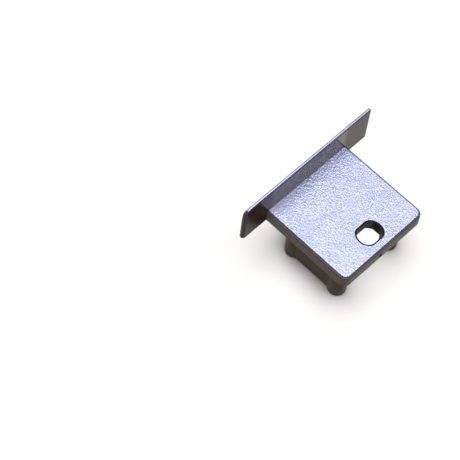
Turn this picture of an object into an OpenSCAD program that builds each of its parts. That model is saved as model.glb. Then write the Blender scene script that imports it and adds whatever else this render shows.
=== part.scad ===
// Profile end cap, moulded in one piece.
// A plate closes the end of a recessed strip profile. The flange along one of its edges covers the
// profile's own flanges and stands up past the plate as a tapering lip. A three-sided wall with a
// round post at each corner goes into the profile, and a cable leaves through the hole.
//
// Millimetres, +Z up. The cap stands on its four post ends, at Z = 0. X runs along the flange,
// +Y points to the flange's trim face, and the origin is the middle of the footprint.

/* [Plate] */
// Width of the plate, along the flange
plate_w = 16; // [14:0.1:24]
// Length of the plate, from the flange's inner face to the far edge
plate_l = 15; // [13:0.1:24]
// Thickness of the plate
plate_t = 2.2; // [1.2:0.1:3]
// Corner radius at the plate's two far corners
plate_corner_r = 1.2; // [0.4:0.1:2]
// Radius of the soft edge round the outer face
plate_edge_r = 0.4; // [0.1:0.05:0.5]

/* [Flange] */
// How far the flange runs past each side of the plate
flange_overhang = 4.6; // [3.5:0.1:8]
// Thickness of the flange at the plate's inner face
flange_t = 1.45; // [1.1:0.05:2.5]
// Thickness the taper would reach at the rim, before the rim is rounded
rim_t = 0.45; // [0.3:0.05:0.8]
// Height of the lip above the plate's outer face
lip_rise = 4.85; // [2:0.05:8]
// Radius of the curve that draws the trim face in towards each end
flange_crown_r = 5; // [3:0.1:8]
// Radius of the nose at each end of the flange, seen from above
flange_nose_r = 0.45; // [0.2:0.05:0.5]
// Radius of the lip's two upper corners, seen from the trim side
rim_corner_r = 0.9; // [0.3:0.1:1.5]

/* [Wall] */
// Height of the wall on the plate's inner face
wall_h = 6.5; // [3:0.1:12]
// Thickness of the wall at its free edge
wall_t = 1.08; // [0.8:0.02:1.4]
// Distance from the flange's inner face to the wall's outer face, at the free edge
wall_setback = 1.8; // [0.8:0.05:2.5]
// Outer corner radius of the wall at the flange side
wall_corner_r = 2; // [1.8:0.1:3]
// Draft of the wall's outer face: how much further out its foot is
wall_flare_out = 0.3; // [0:0.02:0.4]
// Draft of the wall's inner face: how much further in its foot is
wall_flare_in = 0.15; // [0:0.01:0.2]

/* [Posts] */
// How far the posts stand past the wall's free edge
post_stand = 0.3; // [0.1:0.05:1]
// Diameter of a post at its end
post_d = 2.7; // [2.4:0.05:3.2]
// Draft of a post: how much wider its foot is
post_flare = 0.4; // [0:0.02:0.5]
// Distance from the plate's side to the centres of the posts
post_side = 2.67; // [2.4:0.01:3.2]
// Distance from the plate's far edge to the centres of the far posts
post_edge = 2.9; // [2.4:0.05:4]
// Distance from the flange side's wall to the centres of the near posts, from its inner face
post_back = 0.87; // [0.4:0.01:1.4]
// How far a post's end bulges out of the side wall
post_proud = 0.4; // [0.1:0.02:0.6]
// Diameter of the shallow ejector mark in each post end
eject_d = 2.2; // [1.6:0.1:2.3]
// Depth of the ejector marks
eject_depth = 0.05; // [0.02:0.01:0.2]

/* [Cable hole] */
// Diameter of the hole's round stretches at the outer face
hole_d = 4; // [3:0.05:5]
// Draft of the round stretches: how much narrower they are at the inner face
hole_draft = 0.06; // [0.02:0.02:0.2]
// Distance between the hole's two flats
hole_flats = 3.24; // [2.4:0.02:3.5]
// Width of the plate left between the hole and the far edge
hole_land = 1; // [0.8:0.05:3]
// Depth of the round recess in the inner face
recess_depth = 0.6; // [0.2:0.05:1]
// How far the recess is wider than the hole at the outer face, all round
recess_step = 0.03; // [0.01:0.01:0.2]

/* [Moulding marks] */
// Middle diameter of the ring groove in the inner face
ring_d = 3.86; // [2:0.02:4]
// Width of the ring groove
ring_w = 0.24; // [0.1:0.02:0.4]
// Depth of the ring groove
ring_depth = 0.12; // [0.05:0.01:0.3]
// Distance of the ring's centre from the middle of the plate, towards -X
ring_side = 2.32; // [1:0.02:2.5]
// Distance of the ring's centre from the hole's centre, towards the flange
ring_back = 3.9; // [3.5:0.05:5]
// Width of the gate scar on the far edge
gate_w = 1.3; // [0.6:0.1:2]
// Height of the gate scar, up from the inner face
gate_h = 0.45; // [0.2:0.05:0.8]
// Depth of the gate scar
gate_depth = 0.12; // [0.05:0.01:0.3]

/* [Hidden] */
$fn = 96;

// How far one form runs into the next, so that they join
weld = 0.2;
// How far a cutter runs past the face that it cuts
past = 0.5;

// Heights
post_h = wall_h + post_stand;
inner_z = post_h;
outer_z = inner_z + plate_t;
lip_h = plate_t + lip_rise;

// Places on the plate, with Y = 0 at the flange's inner face
side_x = plate_w / 2;
flange_x = side_x + flange_overhang;
post_x = side_x - post_side;
near_post_y = -(wall_setback + wall_t + post_back);
far_post_y = -(plate_l - post_edge);
wall_x = post_x + post_d / 2 - post_proud;
hole_y = -(plate_l - hole_land - hole_d / 2);
ring_y = hole_y + ring_back;
recess_d = hole_d + 2 * recess_step;
middle_y = (plate_l - flange_t) / 2;

// The trim face leans in by this angle, and the round rim touches it and the inner face
trim_slope = (flange_t - rim_t) / lip_h;
trim_lean = atan(trim_slope);
rim_r = rim_t / (1 + 1 / cos(trim_lean) - trim_slope);

// Centres of the crown arc and the nose arc, and the direction in which the two arcs meet
nose_x = flange_x - flange_nose_r;
crown_y = flange_t - flange_crown_r;
crown_x = nose_x - sqrt(pow(flange_crown_r - flange_nose_r, 2) - pow(flange_nose_r - crown_y, 2));
meet_angle = atan2(flange_nose_r - crown_y, nose_x - crown_x);

// Rectangle between two corners
module span(x1, y1, x2, y2) {
    translate([x1, y1]) square([x2 - x1, y2 - y1]);
}

// Both halves of a form that is drawn on the +X side
module both_sides() {
    children();
    mirror([1, 0, 0]) children();
}

// Outline of the plate, which runs a little way into the flange
module plate_outline() {
    corner_y = plate_corner_r - plate_l;
    span(-side_x, corner_y, side_x, weld);
    span(plate_corner_r - side_x, -plate_l, side_x - plate_corner_r, corner_y);
    both_sides() translate([side_x - plate_corner_r, corner_y]) circle(plate_corner_r);
}

// Section of what is cut away along an edge to leave it round; the edge is at the origin
module edge_section() {
    difference() {
        span(-plate_edge_r, -plate_edge_r, past, past);
        translate([-plate_edge_r, -plate_edge_r]) circle(plate_edge_r);
    }
}

// The cutter for the outer face's edge: two sides, the far edge and the two corners
module outer_edge_cut() {
    straight_l = plate_l - plate_corner_r;
    translate([0, 0, outer_z]) {
        both_sides() {
            translate([side_x, 0, 0]) rotate([90, 0, 0]) linear_extrude(straight_l) edge_section();
            translate([side_x - plate_corner_r, -straight_l, 0])
                rotate([0, 0, -90])
                    rotate_extrude(angle = 90) translate([plate_corner_r, 0]) edge_section();
        }
        translate([plate_corner_r - side_x, -plate_l, 0])
            rotate([90, 0, 90])
                linear_extrude(plate_w - 2 * plate_corner_r) mirror([1, 0]) edge_section();
    }
}

// The plate with its soft outer edge
module plate() {
    difference() {
        translate([0, 0, inner_z]) linear_extrude(plate_t) plate_outline();
        outer_edge_cut();
    }
}

// Flange seen from above: straight inside, and drawn in to a blunt nose at each end
module flange_plan() {
    meet = [crown_x + flange_crown_r * cos(meet_angle), crown_y + flange_crown_r * sin(meet_angle)];
    both_sides() {
        polygon([[0, 0], [nose_x, 0], [nose_x, flange_nose_r], meet, [crown_x, flange_t], [0, flange_t]]);
        translate([nose_x, flange_nose_r]) circle(flange_nose_r);
        intersection() {
            translate([crown_x, crown_y]) circle(flange_crown_r);
            polygon([
                [crown_x, crown_y],
                [crown_x + 2 * flange_crown_r * cos(meet_angle), crown_y + 2 * flange_crown_r * sin(meet_angle)],
                [crown_x, crown_y + 2 * flange_crown_r]
            ]);
        }
    }
}

// Flange in section: upright inside, leaning in on the trim side, with a round rim
module flange_section() {
    rim_z = lip_h - rim_r;
    polygon([
        [0, 0],
        [flange_t, 0],
        [rim_r + rim_r * cos(trim_lean), rim_z + rim_r * sin(trim_lean)],
        [rim_r, rim_z],
        [0, rim_z]
    ]);
    translate([rim_r, rim_z]) circle(rim_r);
}

// Flange seen from the trim side: a bar with two round upper corners
module flange_front() {
    span(-flange_x, 0, flange_x, lip_h - rim_corner_r);
    span(rim_corner_r - flange_x, 0, flange_x - rim_corner_r, lip_h);
    both_sides() translate([flange_x - rim_corner_r, lip_h - rim_corner_r]) circle(rim_corner_r);
}

// The flange is what its three views have in common
module flange() {
    translate([0, 0, inner_z])
        intersection() {
            linear_extrude(lip_h) flange_plan();
            translate([-flange_x - past, 0, 0])
                rotate([90, 0, 90]) linear_extrude(2 * (flange_x + past)) flange_section();
            translate([0, flange_t + past, 0])
                rotate([90, 0, 0]) linear_extrude(flange_t + 2 * past) flange_front();
        }
}

// Section of the wall, with draft on both faces; X = 0 is the outer face at the free edge
module wall_section() {
    polygon([
        [-wall_t, post_stand],
        [0, post_stand],
        [wall_flare_out, inner_z],
        [wall_flare_out, inner_z + weld],
        [-wall_t - wall_flare_in, inner_z + weld],
        [-wall_t - wall_flare_in, inner_z]
    ]);
}

// The wall: along the flange, round two corners and down both sides to the far posts
module wall() {
    turn_x = wall_x - wall_corner_r;
    turn_y = -(wall_setback + wall_corner_r);
    both_sides() {
        translate([wall_x, turn_y, 0])
            rotate([90, 0, 0]) linear_extrude(turn_y - far_post_y) wall_section();
        translate([turn_x, turn_y, 0])
            rotate_extrude(angle = 90) translate([wall_corner_r, 0]) wall_section();
    }
    translate([-turn_x, -wall_setback, 0])
        rotate([90, 0, 90]) linear_extrude(2 * turn_x) wall_section();
}

// One post, standing on its end, with the ejector's shallow round mark in it
module post() {
    difference() {
        union() {
            cylinder(h = post_h, d1 = post_d, d2 = post_d + post_flare);
            translate([0, 0, post_h]) cylinder(h = weld, d = post_d + post_flare);
        }
        translate([0, 0, -past]) cylinder(h = past + eject_depth, d = eject_d);
    }
}

module posts() {
    both_sides() {
        translate([post_x, near_post_y, 0]) post();
        translate([post_x, far_post_y, 0]) post();
    }
}

// The cable hole: round with two flats, through the plate, and a little wider towards the outer face
module cable_hole_cut() {
    cut_h = plate_t + 2 * past;
    draft_past = hole_draft * past / plate_t;
    translate([0, hole_y, inner_z + plate_t / 2])
        intersection() {
            cylinder(h = cut_h, d1 = hole_d - hole_draft - draft_past, d2 = hole_d + draft_past, center = true);
            cube([hole_d + past, hole_flats, cut_h], center = true);
        }
}

// The hole's inner mouth is fully round for the depth of a shallow recess
module recess_cut() {
    translate([0, hole_y, inner_z - past]) cylinder(h = past + recess_depth, d = recess_d);
}

// Ring groove that the mould's insert left in the inner face
module ring_cut() {
    translate([-ring_side, ring_y, inner_z - past])
        difference() {
            cylinder(h = past + ring_depth, d = ring_d + ring_w);
            translate([0, 0, -past]) cylinder(h = 3 * past, d = ring_d - ring_w);
        }
}

// Scar where the gate was broken off the far edge
module gate_cut() {
    translate([-gate_w / 2, -plate_l - past, inner_z - past])
        cube([gate_w, past + gate_depth, past + gate_h]);
}

module end_cap() {
    color([0.64, 0.65, 0.71])
        translate([0, middle_y, 0])
            difference() {
                union() {
                    plate();
                    flange();
                    wall();
                    posts();
                }
                cable_hole_cut();
                recess_cut();
                ring_cut();
                gate_cut();
            }
}

end_cap();
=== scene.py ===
# %% [markdown]
# # A moulded end cap for a recessed strip profile
# The cap is one piece of satin silver-grey plastic, 25 mm wide. A plate closes the end of the
# profile, and a cable leaves through the hole in it. A flange along one edge covers the profile's
# own flanges and stands up past the plate as a tapering lip. Under the plate, a three-sided wall
# with a round post at each corner plugs into the profile.
#
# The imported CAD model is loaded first. It fixes the frame: metres, +X along the flange, +Y towards
# the flange's trim face, +Z from the post ends up to the lip.

# %% Load the frame
import math

import bmesh
import bpy
from mathutils import Matrix, Vector


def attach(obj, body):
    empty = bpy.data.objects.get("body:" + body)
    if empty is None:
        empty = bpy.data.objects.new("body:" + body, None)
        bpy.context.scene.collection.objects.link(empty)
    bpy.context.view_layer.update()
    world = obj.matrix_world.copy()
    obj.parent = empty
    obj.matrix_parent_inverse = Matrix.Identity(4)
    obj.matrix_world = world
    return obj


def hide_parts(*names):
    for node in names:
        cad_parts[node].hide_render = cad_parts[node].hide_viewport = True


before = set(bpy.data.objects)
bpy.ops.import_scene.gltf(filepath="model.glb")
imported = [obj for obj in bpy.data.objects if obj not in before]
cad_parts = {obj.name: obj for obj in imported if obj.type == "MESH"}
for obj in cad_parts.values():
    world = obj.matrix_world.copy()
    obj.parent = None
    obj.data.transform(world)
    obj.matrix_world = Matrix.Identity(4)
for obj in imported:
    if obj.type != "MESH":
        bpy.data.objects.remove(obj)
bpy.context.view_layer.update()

MM = 0.001

# %% [markdown]
# ## Camera
# The photograph was taken from well above and a little to the left, with a long lens: parallel
# edges hardly draw together. A camera could be pointed at the cap and nudged until the view fits.
# Here its place and turn were worked out from points that can be told apart on the cap, so they are
# given as numbers, as a place and three directions.

# %% Camera
CAMERA_PLACE = (-0.120056, -0.075645, 0.242543)
CAMERA_RIGHT = (0.7053327, -0.70567604, 0.06728385)
CAMERA_UP = (0.58963772, 0.63672812, 0.49689502)
CAMERA_AHEAD = (0.39348842, 0.31080321, -0.86519837)
LENS_MM = 153.907
SENSOR_MM = 36
CLIP_START = 0.01
CLIP_END = 10


def add_camera():
    """A camera from its place and its three directions. It looks along its own -Z."""
    data = bpy.data.cameras.new("photo_camera")
    data.sensor_fit = "HORIZONTAL"
    data.sensor_width = SENSOR_MM
    data.lens = LENS_MM
    data.clip_start = CLIP_START
    data.clip_end = CLIP_END
    camera = bpy.data.objects.new("photo_camera", data)
    bpy.context.scene.collection.objects.link(camera)
    back = [-value for value in CAMERA_AHEAD]
    turn = Matrix((CAMERA_RIGHT, CAMERA_UP, back)).transposed().to_4x4()
    camera.matrix_world = Matrix.Translation(CAMERA_PLACE) @ turn
    bpy.context.scene.camera = camera
    return camera


camera = add_camera()
print("camera distance, mm:", round(camera.location.length / MM, 1))

# %% [markdown]
# ## Selecting in code
# Blender's edit tools act on whatever is selected, and the CAD nodes come in selected. So each step
# first selects one object alone, and then its edges or faces by where they are. The tools also have
# tolerances of about a tenth of a millimetre, which is as large as this cap's details. The mesh is
# therefore built with one unit for one millimetre, and brought down to metres at the end.

# %% Helpers for selecting
SNAP = 0.00001
TOUCH = 0.001
FLAT = 0.99


def only(piece, mode="OBJECT"):
    """Selects one object and nothing else, and goes to the mode."""
    if bpy.context.object and bpy.context.object.mode != "OBJECT":
        bpy.ops.object.mode_set(mode="OBJECT")
    bpy.ops.object.select_all(action="DESELECT")
    piece.select_set(True)
    bpy.context.view_layer.objects.active = piece
    if mode != "OBJECT":
        bpy.ops.object.mode_set(mode=mode)


def pick(piece, kind, wanted):
    """In edit mode, selects the faces or edges whose element passes the test, and counts them."""
    only(piece, "EDIT")
    bpy.ops.mesh.select_mode(type=kind)
    bpy.ops.mesh.select_all(action="DESELECT")
    mesh = bmesh.from_edit_mesh(piece.data)
    elements = mesh.edges if kind == "EDGE" else mesh.faces
    chosen = [element for element in elements if wanted(element)]
    for element in chosen:
        element.select = True
    bmesh.update_edit_mesh(piece.data)
    return len(chosen)


def ends(edge):
    """The places of an edge's two ends."""
    return [vertex.co for vertex in edge.verts]


def near(a, b, reach=TOUCH):
    """Whether two numbers are the same, but for rounding."""
    return abs(a - b) < reach


# %% [markdown]
# ## Two ways to shape a block
# Each form starts as a cube that is stretched between two corners. Its round edges could be made
# with bevels, but the cap's faces lean, as a mould's must, and a bevel keeps one radius where the
# real corner widens towards its foot. So the leaning forms are shaved: one flat cut after another,
# each touching the round it leaves. Plain upright edges get an ordinary bevel.

# %% Helpers for shaping
ROUND_PROFILE = 0.5


def block(name, low, high):
    """A cube stretched between two corners."""
    if bpy.context.object and bpy.context.object.mode != "OBJECT":
        bpy.ops.object.mode_set(mode="OBJECT")
    bpy.ops.object.select_all(action="DESELECT")
    middle = [(a + b) / 2 for a, b in zip(low, high)]
    size = [b - a for a, b in zip(low, high)]
    bpy.ops.mesh.primitive_cube_add(size=1, location=middle, scale=size)
    piece = bpy.context.object
    piece.name = name
    bpy.ops.object.transform_apply(location=True, rotation=True, scale=True)
    return piece


def shave(piece, cuts):
    """Cuts off all that lies in front of each plane, given as a point and the way it faces."""
    only(piece, "EDIT")
    for point, facing in cuts:
        bpy.ops.mesh.select_all(action="SELECT")
        bpy.ops.mesh.bisect(
            plane_co=point, plane_no=facing, use_fill=True, clear_outer=True, threshold=SNAP
        )
    bpy.ops.object.mode_set(mode="OBJECT")


def between(start, stop, count):
    """Angles in even steps between two angles in degrees, without the two themselves."""
    return [math.radians(start + (stop - start) * step / count) for step in range(1, count)]


def bevel(piece, wanted, width, steps):
    """Rounds the edges that pass the test."""
    count = pick(piece, "EDGE", wanted)
    bpy.ops.mesh.bevel(offset=width, segments=steps, profile=ROUND_PROFILE, affect="EDGES")
    bpy.ops.object.mode_set(mode="OBJECT")
    print(piece.name, "edges rounded:", count)


# %% [markdown]
# ## Plate
# The plate closes the profile's end. It is 16 mm wide and 2.2 mm thick, with two round far corners
# and a small soft edge round its outer face, which shows in the photograph as a thin dark line.
# It could be drawn as an outline and extruded, but its sides are upright, so a stretched cube with
# three bevels gives the same form. The edge along the flange stays sharp, because it runs a little
# way into the flange.

# %% Plate
PLATE_SIDE = 8.0
PLATE_FAR = -8.225
INNER_Z = 6.8
OUTER_Z = 9.0
FLANGE_IN = 6.775
WELD = 0.2
CORNER_R = 1.2
CORNER_STEPS = 14
OUTER_EDGE_R = 0.45
OUTER_EDGE_STEPS = 6
INNER_EDGE_R = 0.08
INNER_EDGE_STEPS = 3


def make_plate():
    """The plate, with its far corners and both its rims rounded."""
    plate = block(
        "plate", (-PLATE_SIDE, PLATE_FAR, INNER_Z), (PLATE_SIDE, FLANGE_IN + WELD, OUTER_Z)
    )

    def far_upright(edge):
        a, b = ends(edge)
        far = near(a.y, PLATE_FAR) and near(b.y, PLATE_FAR)
        return far and near(abs(a.x), PLATE_SIDE) and near(a.x, b.x)

    def rim_at(height):
        def on_rim(edge):
            a, b = ends(edge)
            level = near(a.z, height) and near(b.z, height)
            return level and not (near(a.y, FLANGE_IN + WELD) and near(b.y, FLANGE_IN + WELD))
        return on_rim

    bevel(plate, far_upright, CORNER_R, CORNER_STEPS)
    bevel(plate, rim_at(OUTER_Z), OUTER_EDGE_R, OUTER_EDGE_STEPS)
    bevel(plate, rim_at(INNER_Z), INNER_EDGE_R, INNER_EDGE_STEPS)
    return plate


plate = make_plate()

# %% [markdown]
# ## Flange
# The flange covers the profile's own flanges. From above, it is straight inside and drawn in to a
# blunt nose at each end. From its end, it is upright inside and leans in on the trim side, up to a
# fully round rim. Its two upper corners are round. A bevel would give each of these rounds, but not
# where they run into each other on leaning faces. All of the form is convex, so the whole of it is
# shaved out of one block.

# %% Flange
FLANGE_SIDE = 12.6
TRIM_Y = 8.225
RIM_Z = 13.85
TAPER_END = 0.45
CROWN_R = 5.0
NOSE_R = 0.45
RIM_CORNER_R = 0.9
CROWN_STEPS = 12
NOSE_STEPS = (5, 7)
RIM_CORNER_STEPS = 8
RIM_STEPS = (6, 7)


def flange_cuts():
    """Every cut of the flange, as a point and the way the cut faces."""
    cuts = []
    height = RIM_Z - INNER_Z
    slope = (TRIM_Y - FLANGE_IN - TAPER_END) / height
    lean = math.atan(slope)
    rim_r = TAPER_END / (1 + 1 / math.cos(lean) - slope)
    rim_y = FLANGE_IN + rim_r
    rim_z = RIM_Z - rim_r
    nose_x = FLANGE_SIDE - NOSE_R
    nose_y = FLANGE_IN + NOSE_R
    crown_y = TRIM_Y - CROWN_R
    crown_x = nose_x - math.sqrt((CROWN_R - NOSE_R) ** 2 - (nose_y - crown_y) ** 2)
    meet = math.degrees(math.atan2(nose_y - crown_y, nose_x - crown_x))
    for side in (-1, 1):
        for angle in between(90, meet, CROWN_STEPS):
            way = Vector((side * math.cos(angle), math.sin(angle), 0))
            cuts.append((Vector((side * crown_x, crown_y, 0)) + CROWN_R * way, way))
        before = between(meet, 0, NOSE_STEPS[0])
        after = between(0, -90, NOSE_STEPS[1])
        for angle in before + [math.radians(meet)] + after:
            way = Vector((side * math.cos(angle), math.sin(angle), 0))
            cuts.append((Vector((side * nose_x, nose_y, 0)) + NOSE_R * way, way))
        for angle in between(0, 90, RIM_CORNER_STEPS):
            way = Vector((side * math.cos(angle), 0, math.sin(angle)))
            middle = Vector((side * (FLANGE_SIDE - RIM_CORNER_R), 0, RIM_Z - RIM_CORNER_R))
            cuts.append((middle + RIM_CORNER_R * way, way))
    cuts.append((Vector((0, TRIM_Y, INNER_Z)), Vector((0, math.cos(lean), math.sin(lean)))))
    trim_side = between(math.degrees(lean), 90, RIM_STEPS[0])
    for angle in trim_side + between(90, 180, RIM_STEPS[1]):
        way = Vector((0, math.cos(angle), math.sin(angle)))
        cuts.append((Vector((0, rim_y, rim_z)) + rim_r * way, way))
    print("trim face leans by", round(math.degrees(lean), 2), "degrees")
    print("rim radius, mm:", round(rim_r, 3))
    return cuts


flange = block("flange", (-FLANGE_SIDE, FLANGE_IN, INNER_Z), (FLANGE_SIDE, TRIM_Y, RIM_Z))
shave(flange, flange_cuts())
print("flange faces:", len(flange.data.polygons))

# %% [markdown]
# ## Wall
# The wall plugs into the profile. It runs along the flange, round two corners and down both sides.
# Both its faces lean, so that the part leaves the mould: the foot is thicker than the free edge. A
# Solidify modifier could thicken a bent sheet, but it would be as thick at its foot as at its edge.
# So the wall is shaved as two solid blocks, one the size of its outside and one of its inside, and
# the second is taken out of the first with a Boolean modifier.

# %% Wall
WALL_FREE_Z = 0.3
WALL_X = 6.28
WALL_Y = 4.975
WALL_T = 1.08
WALL_CORNER_R = 2.0
FLARE_OUT = 0.3
FLARE_IN = 0.15
WALL_END_Y = -5.325
WALL_TOP_Z = INNER_Z + WELD
ROOM = 1.0
WALL_EDGE_R = 0.09
WALL_EDGE_STEPS = 2
WALL_TURN = 10


def leaning_cuts(radius, lean):
    """Cuts for both sides, the flange side and the two corners, all leaning by the same angle."""
    turn_x = WALL_X - WALL_CORNER_R
    turn_y = WALL_Y - WALL_CORNER_R
    cuts = []
    for degrees in range(0, 180 + WALL_TURN, WALL_TURN):
        angle = math.radians(degrees)
        way = Vector((math.cos(angle), math.sin(angle), 0))
        side = 0 if degrees == 90 else math.copysign(1, math.cos(angle))
        place = Vector((side * turn_x, turn_y, WALL_FREE_Z)) + radius * way
        flat = math.cos(lean)
        cuts.append((place, Vector((way.x * flat, way.y * flat, math.sin(lean)))))
    return cuts


def apply_boolean(piece, other, operation):
    """Joins another solid to the piece, or takes it out, and deletes the other."""
    only(piece)
    step = piece.modifiers.new(operation.lower(), "BOOLEAN")
    step.operation = operation
    step.solver = "EXACT"
    step.object = other
    bpy.ops.object.modifier_apply(modifier=step.name)
    bpy.data.objects.remove(other, do_unlink=True)


def make_wall():
    """The three-sided wall, with its free edge softened."""
    reach = WALL_X + ROOM
    height = INNER_Z - WALL_FREE_Z
    wall = block("wall", (-reach, WALL_END_Y, WALL_FREE_Z), (reach, WALL_Y + ROOM, WALL_TOP_Z))
    shave(wall, leaning_cuts(WALL_CORNER_R, -math.atan(FLARE_OUT / height)))
    room = block("room", (-reach, WALL_END_Y - ROOM, -ROOM), (reach, WALL_Y, WALL_TOP_Z + ROOM))
    shave(room, leaning_cuts(WALL_CORNER_R - WALL_T, math.atan(FLARE_IN / height)))
    apply_boolean(wall, room, "DIFFERENCE")

    def on_free_edge(edge):
        return all(near(place.z, WALL_FREE_Z) for place in ends(edge))

    bevel(wall, on_free_edge, WALL_EDGE_R, WALL_EDGE_STEPS)
    return wall


wall = make_wall()
print("wall faces:", len(wall.data.polygons))

# %% [markdown]
# ## Posts
# The cap grips the profile with a post at each corner and one at the end of each side wall. A post
# is a shallow cone, because of the draft, with a soft end, and the mould's ejector pin has left a
# shallow round mark in that end. The mark could be cut with a second cylinder, but an inset and an
# extrusion of the end face need no Boolean. One post is modelled and copied to its four places,
# each copy with its own mesh.

# %% Posts
POST_R = 1.35
POST_FLARE = 0.2
POST_X = 5.33
NEAR_POST_Y = 3.025
FAR_POST_Y = -5.325
POST_EDGE_R = 0.1
POST_EDGE_STEPS = 3
MARK_R = 1.1
MARK_DEPTH = 0.05
ROUND_STEPS = 64


def on_the_ground(edge):
    """True for an edge round the post's end."""
    return all(near(place.z, 0) for place in ends(edge))


def make_post():
    """One post on the axis, with its mark."""
    foot_r = POST_R + POST_FLARE * WALL_TOP_Z / INNER_Z
    bpy.ops.object.select_all(action="DESELECT")
    bpy.ops.mesh.primitive_cone_add(
        vertices=ROUND_STEPS, radius1=POST_R, radius2=foot_r, depth=WALL_TOP_Z,
        location=(0, 0, WALL_TOP_Z / 2),
    )
    post = bpy.context.object
    post.name = "post"
    bpy.ops.object.transform_apply(location=True, rotation=True, scale=True)
    bevel(post, on_the_ground, POST_EDGE_R, POST_EDGE_STEPS)
    pick(post, "FACE", lambda face: face.normal.z < -FLAT)
    bpy.ops.mesh.inset(thickness=POST_R - POST_EDGE_R - MARK_R)
    bpy.ops.mesh.extrude_region_move(TRANSFORM_OT_translate={"value": (0, 0, MARK_DEPTH)})
    bpy.ops.object.mode_set(mode="OBJECT")
    return post


def copy_to(piece, x, y):
    """A copy with its own mesh, moved in the mesh."""
    copy = piece.copy()
    copy.data = piece.data.copy()
    bpy.context.scene.collection.objects.link(copy)
    copy.location = (x, y, 0)
    only(copy)
    bpy.ops.object.transform_apply(location=True, rotation=True, scale=True)
    return copy


first_post = make_post()
post_places = [(x, y) for x in (-POST_X, POST_X) for y in (NEAR_POST_Y, FAR_POST_Y)]
posts = [copy_to(first_post, x, y) for x, y in post_places]
bpy.data.objects.remove(first_post, do_unlink=True)
print("posts:", len(posts))

# %% [markdown]
# ## Joining the forms
# The real cap is one moulded piece, so the model is one closed skin. The forms could be left as
# they are, one pushed into the next, but then faces would lie hidden inside. Each form runs a little
# way into its neighbour, and Boolean unions make one skin of them.

# %% Join
cap = plate
for form in [flange, wall] + posts:
    apply_boolean(cap, form, "UNION")
cap.name = "moulded_cap"
print("joined faces:", len(cap.data.polygons))

# %% [markdown]
# ## Cable hole
# The cable hole is round with two flats, with soft corners between them, a soft mouth at the outer
# face and a shallow round recess at the inner one. The edges of a plain hole could be bevelled after
# the cut, but they lie among many small faces. So the cutter gets the whole form: a cone with a very
# small taper, shaved to the flats and the soft corners, whose top is then extruded and widened in
# four steps. The photograph shows the bore a little narrower than its recess, with a dark mouth.

# %% Cable hole
HOLE_Y = -5.225
HOLE_R = 1.88
HOLE_DRAFT = 0.03
HOLE_FLAT = 1.5
HOLE_CORNER_R = 1.1
HOLE_CORNER_STEPS = 10
MOUTH_W = 0.24
MOUTH_H = 0.06
RECESS_R = 2.03
RECESS_DEPTH = 0.6
MOUTH_STEPS = 4
BORE_STEPS = 96


def hole_cuts():
    """The hole's two flats, and the soft corners between them and its round stretches."""
    along_y = HOLE_FLAT - HOLE_CORNER_R
    along_x = math.sqrt((HOLE_R - HOLE_DRAFT - HOLE_CORNER_R) ** 2 - along_y ** 2)
    start = math.degrees(math.atan2(along_y, along_x))
    cuts = []
    for side in (-1, 1):
        cuts.append((Vector((0, HOLE_Y + side * HOLE_FLAT, 0)), Vector((0, side, 0))))
        for end in (-1, 1):
            centre = Vector((end * along_x, HOLE_Y + side * along_y, 0))
            for angle in between(start, 90, HOLE_CORNER_STEPS):
                facing = Vector((end * math.cos(angle), side * math.sin(angle), 0))
                cuts.append((centre + facing * HOLE_CORNER_R, facing))
    return cuts


def make_hole_cutter():
    """The double-D cutter, with a soft mouth at the outer face."""
    low = INNER_Z - ROOM / 2
    high = OUTER_Z - MOUTH_H
    bpy.ops.object.select_all(action="DESELECT")
    bpy.ops.mesh.primitive_cone_add(
        vertices=BORE_STEPS, radius1=HOLE_R - HOLE_DRAFT, radius2=HOLE_R, depth=high - low,
        location=(0, HOLE_Y, (low + high) / 2),
    )
    cutter = bpy.context.object
    bpy.ops.object.transform_apply(location=True, rotation=True, scale=True)
    shave(cutter, hole_cuts())
    pick(cutter, "FACE", lambda face: face.normal.z > FLAT)
    grown = 0
    for step in range(1, MOUTH_STEPS + 1):
        angle = math.radians(90 * step / MOUTH_STEPS)
        last = math.radians(90 * (step - 1) / MOUTH_STEPS)
        rise = MOUTH_H * (math.sin(angle) - math.sin(last))
        wider = MOUTH_W * (1 - math.cos(angle))
        scale = [(size + wider) / (size + grown) for size in (HOLE_R, HOLE_FLAT)]
        bpy.ops.mesh.extrude_region_move(TRANSFORM_OT_translate={"value": (0, 0, rise)})
        bpy.ops.transform.resize(value=(*scale, 1), center_override=(0, HOLE_Y, OUTER_Z))
        grown = wider
    bpy.ops.mesh.extrude_region_move(TRANSFORM_OT_translate={"value": (0, 0, ROOM)})
    bpy.ops.object.mode_set(mode="OBJECT")
    return cutter


def make_recess_cutter():
    """A short cylinder for the round recess in the inner face."""
    low = INNER_Z - ROOM
    high = INNER_Z + RECESS_DEPTH
    bpy.ops.object.select_all(action="DESELECT")
    bpy.ops.mesh.primitive_cylinder_add(
        vertices=BORE_STEPS, radius=RECESS_R, depth=high - low,
        location=(0, HOLE_Y, (low + high) / 2),
    )
    cutter = bpy.context.object
    bpy.ops.object.transform_apply(location=True, rotation=True, scale=True)
    return cutter


apply_boolean(cap, make_hole_cutter(), "DIFFERENCE")
apply_boolean(cap, make_recess_cutter(), "DIFFERENCE")
print("faces with the hole:", len(cap.data.polygons))

# %% [markdown]
# ## Ring groove
# On the inner face, an insert in the mould has left a shallow ring groove beside the hole. It could
# be cut by one disc and filled again by a smaller one. A spun ring needs a single cut: the outline
# of a small square is spun once round the ring's centre. Only its edges are spun, because a face
# would leave a copy of itself inside the ring at every step.

# %% Ring groove
RING_X = -2.32
RING_Y = -1.325
RING_R = 1.93
RING_W = 0.24
RING_DEPTH = 0.12
RING_STEPS = 72
SEAM = SNAP * 10


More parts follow.
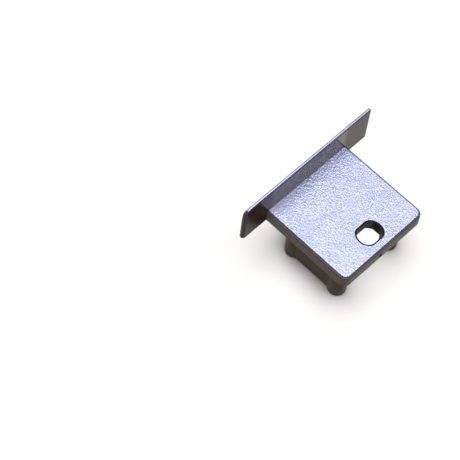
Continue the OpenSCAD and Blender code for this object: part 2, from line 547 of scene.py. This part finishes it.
def make_ring_cutter():
    """A square section spun once round, with its seam closed."""
    bpy.ops.object.select_all(action="DESELECT")
    high = 2 * RING_DEPTH
    bpy.ops.mesh.primitive_plane_add(
        size=1, location=(RING_X + RING_R, RING_Y, INNER_Z), rotation=(math.radians(90), 0, 0)
    )
    cutter = bpy.context.object
    cutter.scale = (RING_W, high, 1)
    bpy.ops.object.transform_apply(location=True, rotation=True, scale=True)
    bpy.ops.object.mode_set(mode="EDIT")
    bpy.ops.mesh.select_all(action="SELECT")
    bpy.ops.mesh.delete(type="ONLY_FACE")
    bpy.ops.mesh.select_all(action="SELECT")
    bpy.ops.mesh.spin(
        steps=RING_STEPS, angle=math.tau, center=(RING_X, RING_Y, INNER_Z), axis=(0, 0, 1)
    )
    bpy.ops.mesh.select_all(action="SELECT")
    bpy.ops.mesh.remove_doubles(threshold=SEAM)
    bpy.ops.mesh.select_all(action="SELECT")
    bpy.ops.mesh.normals_make_consistent(inside=False)
    bpy.ops.object.mode_set(mode="OBJECT")
    return cutter


ring_cutter = make_ring_cutter()
print("ring cutter faces:", len(ring_cutter.data.polygons))
apply_boolean(cap, ring_cutter, "DIFFERENCE")

# %% [markdown]
# ## Gate scar
# Where the gate was broken off, the plate's far edge has two small torn spots and a pit beside them,
# and the lip has a nick near its rim. A bump in the material would be quicker, but these are real
# dents, so they are cut. A tear is cut by a block whose inner face leans, so that the tear faces up
# and catches the light. Its inner face is roughened with a fixed seed first, and the block is cut up
# into triangles, because roughened faces are no longer flat, and a Boolean modifier is only sure of
# flat ones.

# %% Tears of the gate scar
TEAR_SPANS = (((-0.48, -0.2), (7.38, 7.78)), ((-0.04, 0.26), (7.46, 7.84)))
TEAR_DEPTH = 0.22
TEAR_ROOM = 0.3
TEAR_FOOT = 0.28
TEAR_CUTS = 4
TEAR_ROUGH = 0.035
TEAR_SEED = 4
INWARD = 0.5


def make_tear_cutter(low, high):
    """A block whose inner face leans, so that the tear faces up, and is rough."""
    cutter = block("tear", low, high)

    def at_the_foot(edge):
        return all(near(place.y, high[1]) and near(place.z, low[2]) for place in ends(edge))

    pick(cutter, "EDGE", at_the_foot)
    bpy.ops.transform.translate(value=(0, -TEAR_FOOT, 0))
    bpy.ops.object.mode_set(mode="OBJECT")
    pick(cutter, "FACE", lambda face: face.normal.y > INWARD)
    bpy.ops.mesh.subdivide(number_cuts=TEAR_CUTS)
    bpy.ops.transform.vertex_random(offset=TEAR_ROUGH, uniform=1.0, seed=TEAR_SEED)
    bpy.ops.mesh.select_all(action="SELECT")
    bpy.ops.mesh.quads_convert_to_tris(quad_method="BEAUTY", ngon_method="BEAUTY")
    bpy.ops.object.mode_set(mode="OBJECT")
    return cutter


for (left, right), (foot, top) in TEAR_SPANS:
    tear_low = (left, PLATE_FAR - TEAR_ROOM, foot)
    tear_high = (right, PLATE_FAR + TEAR_DEPTH, top)
    apply_boolean(cap, make_tear_cutter(tear_low, tear_high), "DIFFERENCE")
print("faces with the tears:", len(cap.data.polygons))

# %% [markdown]
# ## Pit and nick
# The pit is an upright oval hollow, and the nick is a small dent at the lip's right end. Both are
# too small for a sculpting brush at this density of faces. Balls are stretched to their sizes,
# roughened a little, so that they don't look drilled, and taken out of the cap.

# %% Pit and nick
PIT_PLACE = Vector((-0.8, PLATE_FAR - 0.02, 7.48))
PIT_SIZE = (0.28, 0.5, 0.44)
NICK_PLACE = Vector((7.31, FLANGE_IN, 13.17))
NICK_SIZE = (0.22, 0.22, 0.22)
BALL_DETAIL = 3
DENT_ROUGH = 0.125
DENT_SEED = 2


def make_dent_cutter(place, size):
    """A small rough ball, stretched to the dent's size."""
    bpy.ops.object.select_all(action="DESELECT")
    bpy.ops.mesh.primitive_ico_sphere_add(
        subdivisions=BALL_DETAIL, radius=1, location=place, scale=size
    )
    cutter = bpy.context.object
    bpy.ops.object.transform_apply(location=True, rotation=True, scale=True)
    only(cutter, "EDIT")
    bpy.ops.mesh.select_all(action="SELECT")
    bpy.ops.transform.vertex_random(offset=min(size) * DENT_ROUGH, uniform=1.0, seed=DENT_SEED)
    bpy.ops.object.mode_set(mode="OBJECT")
    return cutter


apply_boolean(cap, make_dent_cutter(PIT_PLACE, PIT_SIZE), "DIFFERENCE")
apply_boolean(cap, make_dent_cutter(NICK_PLACE, NICK_SIZE), "DIFFERENCE")
print("faces with the dents:", len(cap.data.polygons))

# %% [markdown]
# ## Bringing the mesh to size
# The mesh is now scaled from millimetres to metres, and the scale is applied, so that the object
# sits unscaled at the origin, as a CAD node does. The round faces could be shaded flat, with many
# more of them. Instead they are shaded smooth up to 30 degrees, and a Weighted Normal modifier keeps
# the large flat faces flat in the light. The mesh is then measured: a closed one has no open edge.

# %% To metres
SMOOTH_ANGLE = math.radians(30)
FLAT_WEIGHT = 60


def finish_mesh(piece):
    """Scales the mesh to metres and shades it."""
    only(piece)
    piece.scale = (MM, MM, MM)
    bpy.ops.object.transform_apply(location=True, rotation=True, scale=True)
    bpy.ops.object.shade_smooth_by_angle(angle=SMOOTH_ANGLE)
    normals = piece.modifiers.new("flat_faces", "WEIGHTED_NORMAL")
    normals.keep_sharp = True
    normals.weight = FLAT_WEIGHT
    bpy.ops.object.modifier_apply(modifier=normals.name)


finish_mesh(cap)

# %% Measure the mesh
skin = bmesh.new()
skin.from_mesh(cap.data)
open_edges = [edge for edge in skin.edges if len(edge.link_faces) != 2]
print("volume, mm3:", round(skin.calc_volume() / MM ** 3, 1), "open edges:", len(open_edges))
skin.free()

# %% [markdown]
# ## Plastic
# The whole cap is one silver-grey plastic. What differs is the surface that the mould gave it, from
# spark grain on the plate's outer face to a near polish inside the lip, and painted shade: faces
# that turn from the lamp, and hollows, get darker copies of the silver. An image could be wrapped
# round each face, but it would blur in close views. All finishes are built from the same few nodes
# instead, on Object coordinates that are scaled to millimetres, so that sizes can be read as such.

# %% Node helpers


def new_material(name):
    """A material with no nodes, and its node tree."""
    material = bpy.data.materials.new(name)
    material.use_nodes = True
    tree = material.node_tree
    tree.nodes.clear()
    return material, tree


def add(tree, kind, **settings):
    """Adds a node. A setting whose name starts with in_ goes on the input of that name."""
    node = tree.nodes.new(kind)
    for name, value in settings.items():
        if name.startswith("in_"):
            node.inputs[name.removeprefix("in_").replace("_", " ")].default_value = value
        else:
            setattr(node, name, value)
    return node


def ramp(tree, source, low, high, dark, light):
    """Turns a value between low and high into a value between dark and light."""
    node = add(tree, "ShaderNodeMapRange", interpolation_type="SMOOTHSTEP")
    for name, value in (("From Min", low), ("From Max", high), ("To Min", dark), ("To Max", light)):
        node.inputs[name].default_value = value
    tree.links.new(source, node.inputs["Value"])
    return node.outputs["Result"]


def tint(tree, colour, factor):
    """The colour, lightened or darkened by a factor."""
    node = add(tree, "ShaderNodeVectorMath", operation="SCALE")
    node.inputs[0].default_value = colour[:3]
    tree.links.new(factor, node.inputs["Scale"])
    return node.outputs["Vector"]


def times(tree, a, b):
    """One value times another."""
    node = add(tree, "ShaderNodeMath", operation="MULTIPLY")
    tree.links.new(a, node.inputs[0])
    tree.links.new(b, node.inputs[1])
    return node.outputs["Value"]


def noise(tree, place, scale, detail, roughness=0.5, distortion=0.0):
    """A noise with so many waves to the millimetre."""
    node = add(tree, "ShaderNodeTexNoise")
    node.inputs["Scale"].default_value = scale
    node.inputs["Detail"].default_value = detail
    node.inputs["Roughness"].default_value = roughness
    node.inputs["Distortion"].default_value = distortion
    tree.links.new(place, node.inputs["Vector"])
    return node.outputs["Fac"]


def in_mm(tree):
    """Object coordinates, in millimetres."""
    place = add(tree, "ShaderNodeTexCoord").outputs["Object"]
    mapping = add(tree, "ShaderNodeMapping")
    mapping.inputs["Scale"].default_value = (1 / MM, 1 / MM, 1 / MM)
    tree.links.new(place, mapping.inputs["Vector"])
    return mapping.outputs["Vector"]


# %% [markdown]
# ## One recipe for every finish
# Moulded plastic is never even. A slow cloud changes the shade a little over the part, and a fine
# grain changes the shade, the gloss and the relief together, as real grain does. The relief could be
# displaced geometry, but at a hundredth of a millimetre a bump looks the same and costs nothing. A
# finish is a row of values: grain in waves to the millimetre, its contrast, its relief in mm, the
# roughness from and to, the specular level and the metallic share.

# %% Recipe
CLOUD_SCALE = 0.35
CLOUD_DETAIL = 3
CLOUD_SHADE = (0.95, 1.05)
NOISE_SPAN = (0.3, 0.7)
GRAIN_NOISE = (2.5, 0.55, 0.6)
GRAIN_SPAN = (0.32, 0.68)
FINE_SCALE = 3.1
FINE_DETAIL = 1


def plastic_shader(tree, colour, grain_scale, grain_shade, grain_relief, dull, shine, metal):
    """A moulded plastic surface with grain of a given size, contrast and relief in mm."""
    place = in_mm(tree)
    slow = noise(tree, place, CLOUD_SCALE, CLOUD_DETAIL)
    cloud = ramp(tree, slow, *NOISE_SPAN, *CLOUD_SHADE)
    grain = noise(tree, place, grain_scale, *GRAIN_NOISE)
    fine = noise(tree, place, grain_scale * FINE_SCALE, FINE_DETAIL)
    contrast = ramp(tree, grain, *GRAIN_SPAN, 1 - grain_shade, 1 + grain_shade)
    shade = times(tree, cloud, contrast)
    shader = add(tree, "ShaderNodeBsdfPrincipled")
    tree.links.new(tint(tree, colour, shade), shader.inputs["Base Color"])
    tree.links.new(ramp(tree, fine, *NOISE_SPAN, *dull), shader.inputs["Roughness"])
    shader.inputs["Specular IOR Level"].default_value = shine
    shader.inputs["Metallic"].default_value = metal
    relief = add(tree, "ShaderNodeBump")
    relief.inputs["Strength"].default_value = 1.0
    relief.inputs["Distance"].default_value = grain_relief * MM
    tree.links.new(grain, relief.inputs["Height"])
    tree.links.new(relief.outputs["Normal"], shader.inputs["Normal"])
    return shader.outputs["BSDF"]


def plastic(name, colour, *finish):
    """A material with one plastic surface all over."""
    material, tree = new_material(name)
    out = add(tree, "ShaderNodeOutputMaterial")
    tree.links.new(plastic_shader(tree, colour, *finish), out.inputs["Surface"])
    return material


def polished_plastic(name, colour, finish, middle_finish, span):
    """A material that is glossier within a given distance of the middle than beyond it."""
    material, tree = new_material(name)
    apart = add(tree, "ShaderNodeSeparateXYZ")
    tree.links.new(in_mm(tree), apart.inputs["Vector"])
    away = add(tree, "ShaderNodeMath", operation="ABSOLUTE")
    tree.links.new(apart.outputs["X"], away.inputs[0])
    mix = add(tree, "ShaderNodeMixShader")
    tree.links.new(ramp(tree, away.outputs["Value"], *span, 0, 1), mix.inputs["Fac"])
    tree.links.new(plastic_shader(tree, colour, *middle_finish), mix.inputs[1])
    tree.links.new(plastic_shader(tree, colour, *finish), mix.inputs[2])
    out = add(tree, "ShaderNodeOutputMaterial")
    tree.links.new(mix.outputs["Shader"], out.inputs["Surface"])
    return material


# %% [markdown]
# ## Ten finishes
# The level faces are a bluish silver: grained on the plate, smoother on the underside, the rim and
# the tears. The other colours are painted shade, darker copies of the same plastic. The upright
# faces are painted dull and brownish. The flange is satin and painted a near-black brown, and the
# middle of its lip is glossy enough to mirror the plate. The soft edge round the plate is painted
# dark blue on its upper half and brown below. The hole's mouth, its bore and the pit are painted
# darker still, as shade in hollows. One material with masks could hold all of this. A material to
# each is easier to read and to change.

# %% Colours and finishes
SILVER_COLOUR = (0.42, 0.435, 0.595, 1)
# Painted shade: the satin, dull, edge and shoulder colours are darker copies of the silver plastic
# for faces that turn from the lamp.
SATIN_PAINTED_SHADE_COLOUR = (0.12, 0.08, 0.055)
DULL_PAINTED_SHADE_COLOUR = (0.44, 0.385, 0.35)
EDGE_PAINTED_SHADE_COLOUR = (0.075, 0.07, 0.11)
SHOULDER_PAINTED_SHADE_COLOUR = (0.20, 0.17, 0.155)
# Painted shade: the bore, mouth and pit colours are darker copies of the plastic for the hollows of
# the hole and the gate scar's pit.
BORE_PAINTED_SHADE_COLOUR = (0.10, 0.085, 0.075)
MOUTH_PAINTED_SHADE_COLOUR = (0.012, 0.01, 0.012)
PAINTED_SHADE_BLACK_COLOUR = (0.006, 0.005, 0.005)
GRAIN = (3.4, 0.05, 0.11, (0.2, 0.32), 0.5, 0.4)
SILVER = (5.0, 0.03, 0.01, (0.2, 0.3), 0.5, 0.5)
SATIN = (5.0, 0.04, 0.006, (0.10, 0.20), 0.10, 0.0)
POLISH = (5.0, 0.04, 0.006, (0.08, 0.18), 0.38, 0.0)
POLISH_SPAN = (6.6, 8.2)
DULL = (5.0, 0.06, 0.01, (0.35, 0.45), 0.06, 0.0)
EDGE = (5.0, 0.03, 0.01, (0.30, 0.4), 0.2, 0.0)

# The satin, lip, dull, soft edge and shoulder materials carry painted shade.
satin = plastic("satin_painted_shade_plastic", SATIN_PAINTED_SHADE_COLOUR, *SATIN)
polished = polished_plastic("lip_painted_shade_plastic", SATIN_PAINTED_SHADE_COLOUR, SATIN, POLISH, POLISH_SPAN)
dull = plastic("dull_painted_shade_plastic", DULL_PAINTED_SHADE_COLOUR, *DULL)
spark_grain = plastic("spark_grained_plastic", SILVER_COLOUR, *GRAIN)
soft_edge = plastic("soft_edge_painted_shade_plastic", EDGE_PAINTED_SHADE_COLOUR, *EDGE)
shoulder = plastic("shoulder_painted_shade_plastic", SHOULDER_PAINTED_SHADE_COLOUR, *DULL)
silver = plastic("silver_plastic", SILVER_COLOUR, *SILVER)
# The black, mouth and bore materials carry painted shade in hollows.
painted_shade_black = plastic("painted_shade_black_plastic", PAINTED_SHADE_BLACK_COLOUR, *DULL)
mouth_painted_shade = plastic("mouth_painted_shade_plastic", MOUTH_PAINTED_SHADE_COLOUR, *DULL)
bore_painted_shade = plastic("bore_painted_shade_plastic", BORE_PAINTED_SHADE_COLOUR, *DULL)
FINISHES = [
    spark_grain, satin, polished, dull, soft_edge, shoulder, silver, painted_shade_black, mouth_painted_shade, bore_painted_shade
]
cap.data.materials.clear()
for finish in FINISHES:
    cap.data.materials.append(finish)
print("finishes:", len(FINISHES))

# %% [markdown]
# ## A finish for each face
# The finishes could be assigned by hand, face by face. Here each face gets its finish in code, from
# its middle in millimetres and the way it faces, so the faces need no numbers of their own. Level
# faces keep the silver; faces that turn from the lamp, and hollows, get painted shade. The dents
# come first, because they lie inside larger faces, and the plain sides come last.

# %% Which face gets which finish
LEVEL = 0.9
GRAIN_UP = 0.96
EDGE_UP = 0.7
TEAR_UP = 0.4
SLOPE_UP = 0.1
SMALL_AREA = 1
SCAR_DEPTH = 0.3
SCAR_SIDE = 1
SCAR_Z = (7, 8)
PIT_REACH = 1.15
NICK_REACH = 0.3
MOUTH_BAND = 0.5
RIM_BAND = 0.3
LIP_Y = 6.5
GRAIN_BAND = 0.06
BORE_ROOM = 0.05
# Facing limits for the painted shade on the bore's right side.
BORE_SHADE_FACING = 0.55
BORE_DEEP_SHADE_FACING = 0.3


def within_hole(middle, radius):
    """Whether a place is nearer than the radius to the cable hole's axis."""
    return math.hypot(middle.x, middle.y - HOLE_Y) < radius


def in_pit(middle):
    """True inside the pit of the gate scar."""
    away = [gap / size for gap, size in zip(middle - PIT_PLACE, PIT_SIZE)]
    return math.hypot(*away) < PIT_REACH


def in_scar(middle):
    """True where the gate was torn off."""
    low, high = SCAR_Z
    beside = middle.y < PLATE_FAR + SCAR_DEPTH and abs(middle.x) < SCAR_SIDE
    return beside and low < middle.z < high


def finish_of(face):
    """The finish that a face takes, from its place and the way it faces, with painted shade on the
    faces that turn from the lamp and in hollows.
    """
    middle = face.center / MM
    up = face.normal.z
    small = face.area / MM ** 2 < SMALL_AREA
    # The pit gets near-black painted shade.
    if in_pit(middle):
        return painted_shade_black
    # Torn faces of the scar and the nick that don't face up get the soft edge's painted shade.
    if small and in_scar(middle):
        return silver if up > TEAR_UP else soft_edge
    if (middle - NICK_PLACE).length < NICK_REACH:
        return silver if up > SLOPE_UP else soft_edge
    # The hole's mouth gets near-black painted shade.
    if small and middle.z > OUTER_Z - MOUTH_BAND and within_hole(middle, HOLE_R + MOUTH_W):
        return mouth_painted_shade
    # On the rim only level faces keep the silver; its slopes get the soft edge's painted shade and
    # its sides the satin's darker painted shade.
    if middle.z > RIM_Z - RIM_BAND:
        return silver if up > LEVEL else soft_edge if up > SLOPE_UP else satin
    if up < -LEVEL:
        return silver
    # The flange gets the satin's near-black brown painted shade, glossier in the middle of the lip.
    if middle.y > LIP_Y:
        return polished if face.normal.y < -LEVEL else satin
    if near(middle.z, OUTER_Z, GRAIN_BAND) and up > GRAIN_UP:
        return spark_grain
    # The upper half of the plate's soft edge gets a dark blue painted shade.
    if up > EDGE_UP:
        return soft_edge
    # Faces on the right side of the bore get dark grey painted shade, and near-black painted shade
    # where they turn further.
    in_bore = within_hole(middle, RECESS_R + BORE_ROOM)
    if in_bore and middle.x > 0 and face.normal.y > -BORE_SHADE_FACING:
        return painted_shade_black if face.normal.y > -BORE_DEEP_SHADE_FACING else bore_painted_shade
    # Sloping faces and the rest of the bore get the brown shoulder's painted shade, upright faces
    # the dull brown painted shade.
    return shoulder if up > SLOPE_UP or in_bore else dull


for face in cap.data.polygons:
    face.material_index = FINISHES.index(finish_of(face))
for number, finish in enumerate(FINISHES):
    print(finish.name, sum(face.material_index == number for face in cap.data.polygons), "faces")

# %% [markdown]
# ## Two faces for one surface
# A white studio floor throws light back on all sides of the cap, but in the photograph its sides are
# dark and brownish: little light reached them from below. The lamp could be turned down, but then
# the top would go dark too. So the floor and the world show one shader to the camera and in
# reflections, and another, darker one to the soft light that bounces about.

# %% Seen and unseen light


def light_path_mix(tree, seen, unseen):
    """One shader for what is seen directly or in a reflection, and another for bounced light."""
    path = add(tree, "ShaderNodeLightPath")
    mixed = unseen
    for ray in ("Is Camera Ray", "Is Glossy Ray", "Is Transmission Ray"):
        mix = add(tree, "ShaderNodeMixShader")
        tree.links.new(path.outputs[ray], mix.inputs["Fac"])
        tree.links.new(mixed, mix.inputs[1])
        tree.links.new(seen, mix.inputs[2])
        mixed = mix.outputs["Shader"]
    return mixed


# %% [markdown]
# ## Floor paint
# Round the cap, the floor is a warm pale paint that takes the lamp's soft shadow, with a white glow
# over it that weakens close to the cap, as light does in a narrow gap. An Ambient Occlusion node
# tells how narrow the gap is. A plain paint under the lamp alone would be simpler, but its contact
# shadow is paler than the one in the photograph. The floor is plain white in two places: well away
# from the cap, as on a studio sweep, and where the camera sees it through the cable hole.

# %% Floor paint
FLOOR_PAINT = (0.60, 0.55, 0.485, 1)
FLOOR_GLOW = 0.52
SHADE_REACH = 4.0
SHADE_SPAN = (0.25, 1.0)
SHADE_SAMPLES = 16
FLOOR_BOUNCE = (0.10, 0.07, 0.045, 1)
WHITE = (1, 1, 1, 1)
# Painted light: a white spot on the floor inside the cap's shadow, where the camera sees the floor
# through the cable hole.
PAINTED_LIGHT_SPOT_PLACE = (4.1, -2.65, 0)
PAINTED_LIGHT_SPOT_R = (1.8, 2.5)
SWEEP_R = (35.0, 70.0)


def shaded_paint(tree):
    """Warm paint, with a white glow that weakens close to the cap."""
    paint = add(tree, "ShaderNodeBsdfDiffuse", in_Color=FLOOR_PAINT)
    glow = add(tree, "ShaderNodeEmission", in_Color=WHITE)
    open_sky = add(tree, "ShaderNodeAmbientOcclusion", samples=SHADE_SAMPLES)
    open_sky.inputs["Distance"].default_value = SHADE_REACH * MM
    shade = ramp(tree, open_sky.outputs["AO"], *SHADE_SPAN, 0, FLOOR_GLOW)
    tree.links.new(shade, glow.inputs["Strength"])
    both = add(tree, "ShaderNodeAddShader")
    tree.links.new(paint.outputs["BSDF"], both.inputs[0])
    tree.links.new(glow.outputs["Emission"], both.inputs[1])
    return both.outputs["Shader"]


def white_share(tree):
    """1 where the floor is plain white: far off, and in the spot seen through the hole, which is
    painted light over the cap's shadow.
    """
    away = add(tree, "ShaderNodeVectorMath", operation="DISTANCE")
    away.inputs[1].default_value = PAINTED_LIGHT_SPOT_PLACE
    tree.links.new(in_mm(tree), away.inputs[0])
    spot = ramp(tree, away.outputs["Value"], *PAINTED_LIGHT_SPOT_R, 1, 0)
    far = add(tree, "ShaderNodeVectorMath", operation="LENGTH")
    tree.links.new(in_mm(tree), far.inputs[0])
    sweep = ramp(tree, far.outputs["Value"], *SWEEP_R, 0, 1)
    either = add(tree, "ShaderNodeMath", operation="MAXIMUM")
    tree.links.new(spot, either.inputs[0])
    tree.links.new(sweep, either.inputs[1])
    return either.outputs["Value"]


def floor_paint():
    """The floor's material."""
    material, tree = new_material("floor_paint")
    plain = add(tree, "ShaderNodeEmission", in_Color=WHITE, in_Strength=1.0)
    white = add(tree, "ShaderNodeMixShader")
    tree.links.new(white_share(tree), white.inputs["Fac"])
    tree.links.new(shaded_paint(tree), white.inputs[1])
    tree.links.new(plain.outputs["Emission"], white.inputs[2])
    dim = add(tree, "ShaderNodeBsdfDiffuse", in_Color=FLOOR_BOUNCE)
    out = add(tree, "ShaderNodeOutputMaterial")
    mixed = light_path_mix(tree, white.outputs["Shader"], dim.outputs["BSDF"])
    tree.links.new(mixed, out.inputs["Surface"])
    return material


# %% [markdown]
# ## Floor
# In the photograph no edge and no horizon can be seen. A curved backdrop would do that in a studio.
# From above, one flat square looks the same if it is wide enough. It lies under the post ends, and
# it is staging, so it is no part of the cap.

# %% Floor
FLOOR_SIZE = 3.0

bpy.ops.object.select_all(action="DESELECT")
bpy.ops.mesh.primitive_plane_add(size=FLOOR_SIZE, location=(0, 0, 0))
floor = bpy.context.object
floor.name = "floor"
floor.data.materials.append(floor_paint())
print("floor width, m:", FLOOR_SIZE)

# %% [markdown]
# ## Light
# The shadow lies right under the cap and fades over a few millimetres, so the light is one wide
# soft lamp nearly overhead. Several lamps would give several shadows. Its power is set so that a
# level surface renders at about the colour that its material is given: a disc lamp needs pi squared
# times its distance squared for that. The lamp is a little blue, as the top is in the photograph,
# and a dim warm world fills the sides.

# %% Light
LAMP_HEIGHT = 0.9
LAMP_R = 0.44
LAMP_SHIFT = (0.02, 0.02)
LAMP_COLOUR = (0.93, 0.98, 1.09)
LAMP_SHARE = 0.95
FILL = (0.03, 0.02, 0.01, 1)


def make_lamp(name, place, radius, colour, share):
    """A disc lamp that points at the cap, with its power from the share of full light it gives."""
    data = bpy.data.lights.new(name, "AREA")
    data.shape = "DISK"
    data.size = 2 * radius
    data.color = colour
    lamp = bpy.data.objects.new(name, data)
    bpy.context.scene.collection.objects.link(lamp)
    lamp.location = place
    lamp.rotation_euler = (-lamp.location).to_track_quat("-Z", "Y").to_euler()
    data.energy = share * math.pi ** 2 * (lamp.location.length_squared + radius ** 2)
    return lamp


def make_world():
    """White to the camera and in reflections, and a dim warm fill for everything else."""
    world = bpy.data.worlds.new("surroundings")
    bpy.context.scene.world = world
    world.use_nodes = True
    tree = world.node_tree
    tree.nodes.clear()
    white = add(tree, "ShaderNodeBackground", in_Color=WHITE, in_Strength=1.0)
    fill = add(tree, "ShaderNodeBackground", in_Color=FILL, in_Strength=1.0)
    out = add(tree, "ShaderNodeOutputWorld")
    mixed = light_path_mix(tree, white.outputs["Background"], fill.outputs["Background"])
    tree.links.new(mixed, out.inputs["Surface"])


lamp = make_lamp("overhead", Vector((*LAMP_SHIFT, LAMP_HEIGHT)), LAMP_R, LAMP_COLOUR, LAMP_SHARE)
make_world()
bpy.context.scene.view_settings.view_transform = "Standard"
print("lamp power, W:", round(lamp.data.energy, 2))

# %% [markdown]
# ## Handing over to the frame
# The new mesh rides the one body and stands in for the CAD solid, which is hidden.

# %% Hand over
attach(cap, "root")
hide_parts("end_cap")
